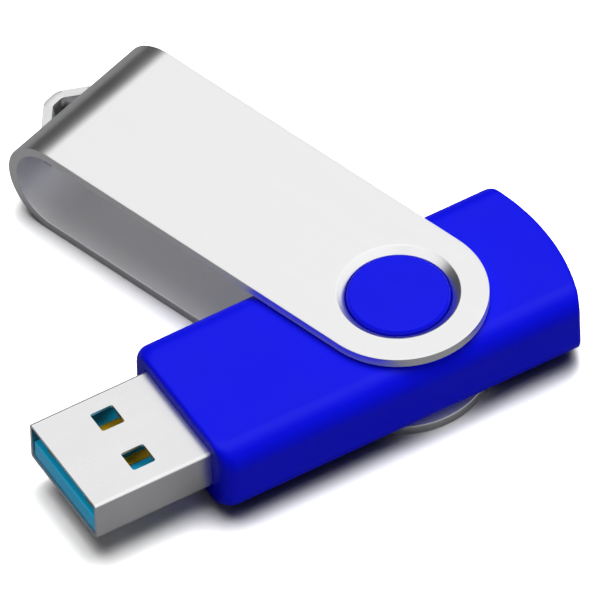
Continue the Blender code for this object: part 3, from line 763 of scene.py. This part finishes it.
def thicken(bm, sheet):
    """Gives the flat blank its thickness, half on each side of its plane."""
    bmesh.ops.translate(bm, verts=bm.verts, vec=(0, 0, -sheet / 2))
    grown = bmesh.ops.extrude_face_region(bm, geom=bm.faces[:])["geom"]
    verts = [item for item in grown if isinstance(item, bmesh.types.BMVert)]
    bmesh.ops.translate(bm, verts=verts, vec=(0, 0, sheet))
    bmesh.ops.recalc_face_normals(bm, faces=bm.faces)


def countersink(bm, sizes, pivot_at):
    """Slopes the outer edge of both pivot holes."""
    top = sizes.sheet / 2
    near = sizes.hole + 1e-6
    walls = []
    for face in bm.faces:
        offsets = [Vector((v.co.x, abs(v.co.y) - pivot_at)) for v in face.verts]
        if all(offset.length < near for offset in offsets):
            walls.append(face)
    slice_faces(bm, walls, (0, 0, top - sizes.sink_depth), (0, 0, 1))
    for vert in bm.verts:
        offset = Vector((vert.co.x, abs(vert.co.y) - pivot_at, 0.0))
        if offset.length < near and vert.co.z > top - 1e-7:
            offset *= (sizes.hole + sizes.sink) / offset.length
            vert.co.x = offset.x
            vert.co.y = math.copysign(offset.y + pivot_at, vert.co.y)


def mark_inner_side(bm, sheet):
    """Marks the side of the flat strip that ends up inside the bend."""
    inner = bm.verts.layers.float.new(INNER_SIDE)
    for vert in bm.verts:
        vert[inner] = 1.0 if vert.co.z < 0.01 * MM - sheet / 2 else 0.0


def bend_round(bm, radius, bend_length, bend_y):
    """Bends the flat strip to a U: the middle stretch turns half round, and the rest stays straight."""
    middle = CLIP_HEIGHT / 2
    for vert in bm.verts:
        along, out = vert.co.y, vert.co.z
        turn = max(-bend_length, min(bend_length, along)) / radius
        straight = max(abs(along) - bend_length, 0.0)
        vert.co.y = bend_y - (radius + out) * math.cos(turn) + straight
        vert.co.z = middle + (radius + out) * math.sin(turn)


def make_clip(sizes, finishes):
    half = sizes.width / 2
    radius = (CLIP_HEIGHT - sizes.sheet) / 2
    bend_length = math.pi / 2 * radius
    bend_y = -(sizes.reach - CLIP_HEIGHT / 2)
    pivot_at = bend_length - bend_y
    play = sizes.slot_play
    slot = (sizes.loop_neck_half + sizes.loop_strip / 2 + play, loop_height() / 2 + play)
    bm = flat_blank(sizes, half, pivot_at, bend_length, slot)
    thicken(bm, sizes.sheet)
    countersink(bm, sizes, pivot_at)
    mark_inner_side(bm, sizes.sheet)
    bend_round(bm, radius, bend_length, bend_y)
    along = clip_direction()
    turn = math.atan2(along.y, along.x) + math.pi / 2
    metal = satin_metal("Clip aluminium", finishes.clip, 0.3, turn)
    mesh = make_mesh("clip_cover", bm, clip_place(), 30.0)
    piece = add_piece("clip_cover", mesh, metal, "clip", "clip_metal", "swivel_clip")
    soften(piece, sizes.edge, 30.0, 3)


def loop_height():
    return LOOP_HIGH.z - LOOP_LOW.z


def make_loop(sizes, finishes):
    """Strip with a blunt nose, folded out to two feet behind the slot."""
    half = sizes.loop_strip / 2
    nose = -sizes.loop_nose + half
    neck = -sizes.reach
    side = [(sizes.loop_foot_half, -sizes.loop_foot), (sizes.loop_neck_half, -sizes.loop_foot)]
    side += [(sizes.loop_neck_half, neck), (sizes.loop_nose_half, nose)]
    path = side + [(-x, y) for x, y in reversed(side)]
    middle = (LOOP_HIGH.z + LOOP_LOW.z) / 2
    bm = strip([(x, y, middle) for x, y in path], Vector((0, 0, loop_height())))
    folds = [edge for edge in bm.edges if len(edge.link_faces) == 2]
    round_edges(bm, folds, sizes.loop_bend, 8)
    bmesh.ops.recalc_face_normals(bm, faces=bm.faces)
    metal = plated_metal("Loop steel", finishes.loop, 0.2)
    mesh = make_mesh("key_loop_strip", bm, clip_place())
    piece = add_piece("key_loop_strip", mesh, metal, "clip", "loop_metal", "key_loop")
    wall = piece.modifiers.new("strip", "SOLIDIFY")
    wall.thickness = sizes.loop_strip
    wall.offset = 0.0
    wall.use_even_offset = True
    soften(piece, sizes.loop_edge, 50.0, 4)


# ---- case


def case_plan(sizes, half_width, front, rear):
    """Outline seen from above: square front with round corners, and a rear that bulges in one wide arc."""
    corner = sizes.rear_corner
    centre_y = rear - sizes.rear_radius
    across = half_width - corner
    along = centre_y + math.sqrt((sizes.rear_radius - corner) ** 2 - across**2)
    meet = math.degrees(math.atan2(along - centre_y, across))
    plan = arc((across, along), corner, 0, meet, 9)
    plan += arc((0, centre_y), sizes.rear_radius, meet, 180 - meet, 28)[1:-1]
    plan += arc((-across, along), corner, 180 - meet, 180, 9)
    corner = sizes.corner
    across = half_width - corner
    plan += arc((-across, front + corner), corner, 180, 270, 12)
    plan += arc((across, front + corner), corner, 270, 360, 12)
    return plan


def case_form(sizes, wall=0.0):
    """Outer form of the case, or with a wall the form of the space inside it."""
    side = sizes.side_round - wall
    end = max(sizes.end_round - wall, 0.0)
    rise = (CASE_TOP - CASE_BOTTOM) / 2 - wall - side
    middle = (CASE_TOP + CASE_BOTTOM) / 2
    half_width = (CASE_HIGH.x - CASE_LOW.x) / 2
    levels = []
    for step in range(-18, 19):
        slope = math.radians(5 * step)
        height = math.copysign(rise, step or 1) + side * math.sin(slope)
        below = side * (1 - abs(math.sin(slope)))
        end_inset = end - math.sqrt(max(end**2 - max(end - below, 0) ** 2, 0))
        side_inset = side * (1 - math.cos(slope))
        plan = case_plan(
            sizes,
            half_width - wall - side_inset,
            CASE_LOW.y + wall + end_inset,
            CASE_HIGH.y - wall - end_inset,
        )
        if step == 0:
            levels.append([(x, y, middle - height) for x, y in plan])
        levels.append([(x, y, middle + height) for x, y in plan])
    return loft(levels)


def boss(sizes, face, root, top):
    """Round pivot with a softened rim and a small fillet where it leaves the face of the case."""
    way = math.copysign(1.0, top - face)
    radius, soft, fillet = sizes.boss, sizes.boss_round, sizes.boss_fillet
    profile = [(0.0, root), (radius + fillet, root), (radius + fillet, face)]
    for step in range(1, 6):
        turn = math.radians(18 * step)
        profile.append((radius + fillet * (1 - math.sin(turn)), face + way * fillet * (1 - math.cos(turn))))
    for step in range(9):
        turn = math.radians(11.25 * step)
        drop = sizes.boss_drop * (1 - math.sin(turn))
        profile.append((radius - soft * (1 - math.cos(turn)), top - way * drop))
    profile.append((0.0, top))
    return turned(profile)


def post_places(sizes):
    return [(side * sizes.post_x, y) for y in (sizes.post_front, sizes.post_rear) for side in (-1, 1)]


def upright(x, y, low, high, radius):
    return turned([(0.0, low), (radius, low), (radius, high), (0.0, high)], 32, x, y)


def cover_form(sizes, plug, play):
    """Space that the bottom cover fills: its plate, and the sill that closes the front under the plug."""
    half = sizes.cover_half + play
    front = CASE_LOW.y - MM
    rear = COVER_HIGH.y + play
    corner = sizes.cover_corner
    plan = arc((half - corner, rear - corner), corner, 0, 90, 8)
    plan += arc((corner - half, rear - corner), corner, 90, 180, 8)
    plan += [(-half, front), (half, front)]
    top = CASE_BOTTOM + sizes.wall + play / 2
    plate = loft([[(x, y, z) for x, y in plan] for z in (0.0, top)])
    sill = (PLUG_HIGH.x - PLUG_LOW.x) / 2 - plug.play + play
    sill_top = PLUG_CENTRE - PLUG_HEIGHT / 2 - plug.play
    low = (-sill, front - MM, CASE_BOTTOM + sizes.wall / 2)
    high = (sill, CASE_LOW.y + sizes.wall + play, sill_top + play)
    return join(plate, box(low, high))


def make_case(sizes, plug, finishes):
    """Deep shell with the upper pivot, the plug's opening and the sockets for the posts."""
    half = (PLUG_HIGH.x - PLUG_LOW.x) / 2 + plug.play
    reach = PLUG_HEIGHT / 2 + plug.play
    opening = box(
        (-half, CASE_LOW.y - MM, PLUG_CENTRE - reach),
        (half, CASE_LOW.y + 2 * sizes.wall, PLUG_CENTRE + reach),
    )
    hollow = case_form(sizes, sizes.wall)
    body = cut(case_form(sizes), hollow, cover_form(sizes, plug, sizes.seam), opening)
    inside = CASE_TOP - sizes.wall
    root = inside + sizes.wall / 2
    body = join(body, boss(sizes, CASE_TOP, root, CLIP_HEIGHT - BOSS_RECESS))
    for x, y in post_places(sizes):
        body = join(body, upright(x, y, BOARD_HIGH.z + sizes.play, root, sizes.post + sizes.socket))
        body = cut(body, upright(x, y, BOARD_HIGH.z - MM, inside, sizes.post + sizes.play))
    plastic = case_plastic(finishes)
    mesh = make_mesh("case_shell", body, place())
    piece = add_piece("case_shell", mesh, plastic, "drive", "case_plastic", "case_body")
    soften(piece, sizes.edge, 60.0, 2)


def make_cover(sizes, plug, finishes):
    """Plate under the case, with the lower pivot and four posts."""
    cover = combine(cover_form(sizes, plug, 0.0), case_form(sizes), "INTERSECT")
    root = CASE_BOTTOM + sizes.wall / 2
    cover = join(cover, boss(sizes, CASE_BOTTOM, root, BOSS_RECESS))
    for x, y in post_places(sizes):
        shoulder = upright(x, y, root, BOARD_LOW.z - sizes.play, sizes.post + sizes.shoulder)
        pin = upright(x, y, root, CASE_TOP - sizes.wall - sizes.play, sizes.post)
        cover = join(cover, join(shoulder, pin))
    mesh = make_mesh("case_base", cover, place())
    piece = add_piece("case_base", mesh, case_plastic(finishes), "drive", "case_plastic", "bottom_cover")
    soften(piece, sizes.edge, 60.0, 2)


def case_plastic(finishes):
    found = bpy.data.materials.get("Case plastic")
    return found or moulded_plastic("Case plastic", finishes.case, 0.45, specular=0.10)


# ---- plug


def rounded_section(half_width, half_height, corner):
    plan = []
    for start, x, z in ((0, 1, 1), (90, -1, 1), (180, -1, -1), (270, 1, -1)):
        centre = (x * (half_width - corner), z * (half_height - corner))
        plan += arc(centre, corner, start, start + 90, 8)
    return plan


def tube_form(half_width, half_height, corner, overhang=0.0):
    """Rounded bar as long as the plug's tube, or longer by an overhang at both ends."""
    section = rounded_section(half_width, half_height, corner)
    ends = (PLUG_LOW.y - overhang, plug_back() + overhang)
    return loft([[(x, y, PLUG_CENTRE + z) for x, z in section] for y in ends])


def plug_back():
    """Rear end of the plug's tube, where the solder legs begin."""
    return CARRIER_HIGH.y + 0.1 * MM


def make_shell(sizes, finishes):
    """Folded steel tube with two windows above and two below, a joint line below, and two solder legs."""
    half_width, half_height = (PLUG_HIGH.x - PLUG_LOW.x) / 2, PLUG_HEIGHT / 2
    tip = PLUG_LOW.y
    shell = tube_form(half_width, half_height, sizes.corner)
    inside = max(sizes.corner - sizes.sheet, 0.08 * MM)
    hollow = tube_form(half_width - sizes.sheet, half_height - sizes.sheet, inside, MM)
    shell = cut(shell, hollow)
    y = tip + sizes.window_from_tip
    for side in (-1, 1):
        x = side * sizes.window_offset
        reach = sizes.window / 2
        window = box(
            (x - reach, y - reach, PLUG_CENTRE - 2 * half_height),
            (x + reach, y + reach, PLUG_CENTRE + 2 * half_height),
        )
        round_edges(window, uprights(window), sizes.window_corner, 6)
        shell = cut(shell, window)
    shell = join(shell, *(solder_leg(sizes, side, half_width) for side in (-1, 1)))
    shell = cut(shell, *seam_grooves(sizes, tip, half_height))
    metal = plated_metal("Plug steel", finishes.plug, 0.3)
    mesh = make_mesh("plug_housing", shell, place())
    piece = add_piece("plug_housing", mesh, metal, "drive", "plug_metal", "plug_shell")
    soften(piece, sizes.edge, 50.0, 3)


def solder_leg(sizes, side, half_width):
    """Arm back over the board with a prong down through its slot."""
    front, back = BOARD_LOW.y + sizes.leg_front, BOARD_LOW.y + sizes.leg_back
    low, high = BOARD_HIGH.z + sizes.leg_gap, BOARD_HIGH.z + sizes.leg_rise
    toe = BOARD_LOW.z - sizes.leg_gap
    root = plug_back() - MM
    outline = [(root, low), (front, low), (front, toe), (back, toe), (back, high), (root, high)]
    outside = side * (half_width - 0.03 * MM)
    inside = side * (half_width - sizes.sheet + 0.03 * MM)
    return loft([[(x, y, z) for y, z in outline] for x in (inside, outside)])


def seam_grooves(sizes, tip, half_height):
    """Shallow joint line where the folded sheet meets, with one dovetail that locks it."""
    low, high = PLUG_CENTRE - half_height - MM, PLUG_CENTRE - half_height + 0.12 * MM
    half = sizes.seam / 2
    key_y, key, side = tip + sizes.key_from_tip, sizes.key, -sizes.key_width
    runs = [(tip - MM, key_y - key), (key_y + key, plug_back() + MM)]
    grooves = [box((-half, start, low), (half, end, high)) for start, end in runs]
    path = [(0, key_y - key), (side, key_y - 1.4 * key), (side, key_y + 1.4 * key), (0, key_y + key)]
    bm = strip([(x, y, low) for x, y in path], Vector((0, 0, 2 * (high - low))))
    bmesh.ops.recalc_face_normals(bm, faces=bm.faces)
    bmesh.ops.solidify(bm, geom=bm.faces[:], thickness=sizes.seam)
    top = max(vert.co.z for vert in bm.verts)
    bmesh.ops.translate(bm, verts=bm.verts, vec=(0, 0, high - top))
    return grooves + [bm]


def contact_places():
    """Opposite corners of each of the four flat contacts."""
    names = ("ground_contact", "data_plus_contact", "data_minus_contact", "power_contact")
    return [tuple(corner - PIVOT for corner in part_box(name)) for name in names]


def make_tongue(sizes, finishes):
    """Moulded tongue with a groove for each flat contact."""
    bm = box(TONGUE_LOW, TONGUE_HIGH)
    tip = [e for e in bm.edges if all(abs(v.co.y - TONGUE_LOW.y) < 1e-8 for v in e.verts)]
    round_edges(bm, tip, sizes.tongue_nose, 4)
    play = sizes.groove_play
    for low, high in contact_places():
        groove = box(
            (low.x - play, low.y - play, low.z - sizes.groove_depth),
            (high.x + play, TONGUE_HIGH.y + MM, TONGUE_HIGH.z + MM),
        )
        bm = cut(bm, groove)
    plastic = moulded_plastic("Tongue plastic", finishes.tongue, 0.32, 0.05 * MM, 0.0008 * MM, 0.5)
    mesh = make_mesh("plug_tongue_block", bm, place())
    piece = add_piece("plug_tongue_block", mesh, plastic, "drive", "tongue_plastic", "plug_tongue")
    soften(piece, sizes.tongue_edge, 60.0, 2)


# ---- carried-over pieces


def give(node, material):
    """Gives a CAD node its finish."""
    mesh = frame["nodes"][node].data
    mesh.materials.clear()
    mesh.materials.append(material)


def finish_contacts(finishes):
    gold = plated_metal("Contact gold", finishes.gold, 0.34, spacing=0.03 * MM, metallic=0.6)
    for node in frame["nodes"]:
        if node.endswith("_contact") or node.startswith("superspeed_contact"):
            give(node, gold)
    carrier = moulded_plastic("Carrier plastic", finishes.carrier, 0.5, 0.05 * MM)
    give("contact_carrier", carrier)


def finish_board(finishes):
    give("circuit_board", board_lacquer(finishes))
    epoxy = moulded_plastic("Package epoxy", finishes.epoxy, 0.6, 0.03 * MM, 0.003 * MM)
    for node in ("controller_chip", "flash_memory_chip", "voltage_regulator", "esd_protector"):
        give(node, epoxy)
    give("crystal", plated_metal("Crystal can", finishes.can, 0.3))
    bodies = {
        "decoupling_capacitor": finishes.ceramic,
        "coupling_capacitor": finishes.ceramic,
        "resistor": finishes.glaze,
        "supply_ferrite": finishes.glaze,
        "bulk_capacitor": finishes.tantalum,
    }
    for node in frame["nodes"]:
        kind = next((start for start in bodies if node.startswith(start)), None)
        if kind:
            give(node, component_material(node, bodies[kind], finishes.tin, kind == "bulk_capacitor"))


def component_material(node, base, tin, striped):
    """Finish of one small component, with its terminals on its own two ends."""
    low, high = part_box(node)
    size = high - low
    along = "X" if size.x > size.y else "Y"
    half = max(size.x, size.y) / 2
    label = node.replace("_", " ")
    if striped:
        return terminal_part(label, base, shade(base, 0.35)[:3], (low + high) / 2, half, along, both=False)
    return terminal_part(label, base, tin, (low + high) / 2, half, along)


# ---- stage


def make_floor(stage):
    bm = bmesh.new()
    bmesh.ops.create_circle(bm, cap_ends=True, radius=stage.floor_radius, segments=96)
    mesh = bpy.data.meshes.new("studio_floor")
    bm.to_mesh(mesh)
    bm.free()
    floor = bpy.data.objects.new("studio_floor", mesh)
    bpy.context.scene.collection.objects.link(floor)
    mesh.materials.append(floor_material(stage.floor))


def sky_fade(tree, parts, stage, fade, dim, bright):
    """Light that grows with the height of a direction, raised on the side of a bearing."""
    bearing, amount, start, full = fade
    bearing = stage.azimuth + math.radians(bearing)
    east = maths(tree, "MULTIPLY", parts.outputs["X"], amount * math.sin(bearing))
    north = maths(tree, "MULTIPLY", parts.outputs["Y"], -amount * math.cos(bearing))
    height = maths(tree, "ADD", maths(tree, "ADD", east, north), parts.outputs["Z"])
    return remap(tree, height, start, full, dim, bright, smooth=True)


def direction(bearing, rise):
    """Unit vector of a bearing round from the plug's end, and a rise above the floor."""
    level = math.cos(rise)
    return Vector((math.sin(bearing) * level, -math.cos(bearing) * level, math.sin(rise)))


def white_card(tree, source, stage):
    """Soft-edged round patch of light in the sky about one direction."""
    bearing, rise, rim, full = WHITE_CARD
    middle = direction(stage.azimuth + math.radians(bearing), math.radians(rise))
    facing = vector_maths(tree, "DOT_PRODUCT", source.outputs["Generated"], middle)
    return remap(tree, facing.outputs["Value"], rim, full, 0.0, stage.dome, smooth=True)


def make_world(stage):
    """Wide soft light from above that fades to a dim horizon. Looking straight at it shows pale paper.

    Reflections see the light reach lower on the right, as if a white card stood there.
    """
    world = bpy.data.worlds.new("Studio")
    bpy.context.scene.world = world
    world.use_nodes = True
    tree = world.node_tree
    sky = tree.nodes["Background"]
    source = add_node(tree, "ShaderNodeTexCoord")
    parts = add_node(tree, "ShaderNodeSeparateXYZ", Vector=source.outputs["Generated"])
    shed = sky_fade(tree, parts, stage, SHED_FADE, SHED_LOW * stage.horizon, stage.overhead)
    mirrored = sky_fade(tree, parts, stage, MIRROR_FADE, stage.horizon, stage.dome)
    mirrored = maths(tree, "MAXIMUM", mirrored, white_card(tree, source, stage))
    path = tree.nodes.new("ShaderNodeLightPath")
    light = add_node(tree, "ShaderNodeMix", Factor=path.outputs["Is Glossy Ray"], A=shed, B=mirrored)
    seen = mix_colours(tree, path.outputs["Is Camera Ray"], (1.0, 1.0, 1.0, 1.0), (*stage.floor, 1.0))
    tree.links.new(seen, sky.inputs["Color"])
    strength = add_node(
        tree, "ShaderNodeMix", Factor=path.outputs["Is Camera Ray"], A=light.outputs[0], B=1.0
    )
    tree.links.new(strength.outputs[0], sky.inputs["Strength"])


def add_lamp(name, stage):
    """Round soft light that looks at the middle of the object and leaves no glint."""
    bearing, rise, size, power = LAMPS[name]
    light = bpy.data.lights.new(name, "AREA")
    light.shape = "DISK"
    light.size = size
    light.energy = power
    lamp = bpy.data.objects.new(name, light)
    bpy.context.scene.collection.objects.link(lamp)
    away = direction(stage.azimuth + math.radians(bearing), math.radians(rise))
    lamp.location = away * stage.lamp_distance
    lamp.rotation_euler = away.to_track_quat("Z", "Y").to_euler()
    lamp.visible_camera = False
    lamp.visible_glossy = False
    return lamp


def light_only(lamp, pieces):
    """Lets a lamp light nothing but the given pieces, and keeps its light from bouncing on."""
    lit = bpy.data.collections.new(lamp.name + " lights")
    for piece in pieces:
        lit.objects.link(piece)
    lamp.light_linking.receiver_collection = lit
    lamp.data.cycles.max_bounces = 0


def make_lamps(stage):
    """High key light from behind, and fills that each light a few of the pieces."""
    gold = [node for node in frame["nodes"] if node.endswith("_contact")]
    fills = {
        "side fill": ["case_shell"],
        "mouth fill": ["plug_tongue_block", *gold],
        "clip fill": ["clip_cover"],
    }
    add_lamp("key", stage)
    objects = bpy.context.scene.objects
    for name, pieces in fills.items():
        light_only(add_lamp(name, stage), [objects[piece] for piece in pieces if piece in objects])


def make_camera(stage):
    """Very long lens, so that the view is nearly parallel."""
    data = bpy.data.cameras.new("camera")
    camera = bpy.data.objects.new("camera", data)
    bpy.context.scene.collection.objects.link(camera)
    data.sensor_width = 36.0
    data.lens = data.sensor_width * stage.distance / stage.view_width
    data.clip_start, data.clip_end = 0.1, 100.0
    away = direction(stage.azimuth, stage.elevation)
    turn = Matrix.Rotation(stage.azimuth, 4, "Z") @ Matrix.Rotation(math.pi / 2 - stage.elevation, 4, "X")
    target = PIVOT + Vector(stage.target)
    camera.matrix_world = (
        Matrix.Translation(target + away * stage.distance) @ turn @ Matrix.Rotation(stage.roll, 4, "Z")
    )
    bpy.context.scene.camera = camera


# ---- operators


class FLASHDRIVE_OT_clip(bpy.types.Operator):
    """Make the bent metal cover"""

    bl_idname = "flashdrive.clip"
    bl_label = "Clip"

    def execute(self, context):
        make_clip(context.scene.drive_clip, context.scene.drive_finishes)
        return {"FINISHED"}


class FLASHDRIVE_OT_loop(bpy.types.Operator):
    """Make the key loop in the clip's bend"""

    bl_idname = "flashdrive.loop"
    bl_label = "Key Loop"

    def execute(self, context):
        make_loop(context.scene.drive_clip, context.scene.drive_finishes)
        return {"FINISHED"}


class FLASHDRIVE_OT_case(bpy.types.Operator):
    """Make the case shell and its bottom cover"""

    bl_idname = "flashdrive.case"
    bl_label = "Case"

    def execute(self, context):
        scene = context.scene
        make_case(scene.drive_case, scene.drive_plug, scene.drive_finishes)
        make_cover(scene.drive_case, scene.drive_plug, scene.drive_finishes)
        return {"FINISHED"}


class FLASHDRIVE_OT_plug(bpy.types.Operator):
    """Make the plug's shell and tongue, and finish its contacts"""

    bl_idname = "flashdrive.plug"
    bl_label = "Plug"

    def execute(self, context):
        scene = context.scene
        make_shell(scene.drive_plug, scene.drive_finishes)
        make_tongue(scene.drive_plug, scene.drive_finishes)
        finish_contacts(scene.drive_finishes)
        return {"FINISHED"}


class FLASHDRIVE_OT_board(bpy.types.Operator):
    """Finish the circuit board and its components"""

    bl_idname = "flashdrive.board"
    bl_label = "Circuit Board"

    def execute(self, context):
        finish_board(context.scene.drive_finishes)
        return {"FINISHED"}


class FLASHDRIVE_OT_stage(bpy.types.Operator):
    """Set up the floor, the light and the camera"""

    bl_idname = "flashdrive.stage"
    bl_label = "Studio Stage"

    def execute(self, context):
        stage = context.scene.drive_stage
        make_floor(stage)
        make_world(stage)
        make_lamps(stage)
        make_camera(stage)
        context.scene.view_settings.view_transform = "Standard"
        return {"FINISHED"}


class FLASHDRIVE_PT_panel(bpy.types.Panel):
    """Lists the pieces and their sizes"""

    bl_label = "Flash Drive"
    bl_idname = "FLASHDRIVE_PT_panel"
    bl_space_type = "VIEW_3D"
    bl_region_type = "UI"
    bl_category = "Flash Drive"

    def draw(self, context):
        for operator in OPERATORS:
            self.layout.operator(operator.bl_idname)
        for name in SETTINGS:
            column = self.layout.column(align=True)
            settings = getattr(context.scene, name)
            for key in settings.__annotations__:
                column.prop(settings, key)


OPERATORS = (
    FLASHDRIVE_OT_clip,
    FLASHDRIVE_OT_loop,
    FLASHDRIVE_OT_case,
    FLASHDRIVE_OT_plug,
    FLASHDRIVE_OT_board,
    FLASHDRIVE_OT_stage,
)
SETTINGS = {
    "drive_clip": ClipSizes,
    "drive_case": CaseSizes,
    "drive_plug": PlugSizes,
    "drive_finishes": Finishes,
    "drive_stage": StageSizes,
}


def register():
    for group in SETTINGS.values():
        bpy.utils.register_class(group)
    for name, group in SETTINGS.items():
        setattr(bpy.types.Scene, name, PointerProperty(type=group))
    for operator in OPERATORS:
        bpy.utils.register_class(operator)
    bpy.utils.register_class(FLASHDRIVE_PT_panel)


def unregister():
    bpy.utils.unregister_class(FLASHDRIVE_PT_panel)
    for operator in reversed(OPERATORS):
        bpy.utils.unregister_class(operator)
    for name, group in SETTINGS.items():
        delattr(bpy.types.Scene, name)
        bpy.utils.unregister_class(group)


def main():
    register()
    bpy.ops.flashdrive.clip()
    bpy.ops.flashdrive.loop()
    bpy.ops.flashdrive.case()
    bpy.ops.flashdrive.plug()
    bpy.ops.flashdrive.board()
    bpy.ops.flashdrive.stage()


if __name__ == "__main__":
    main()
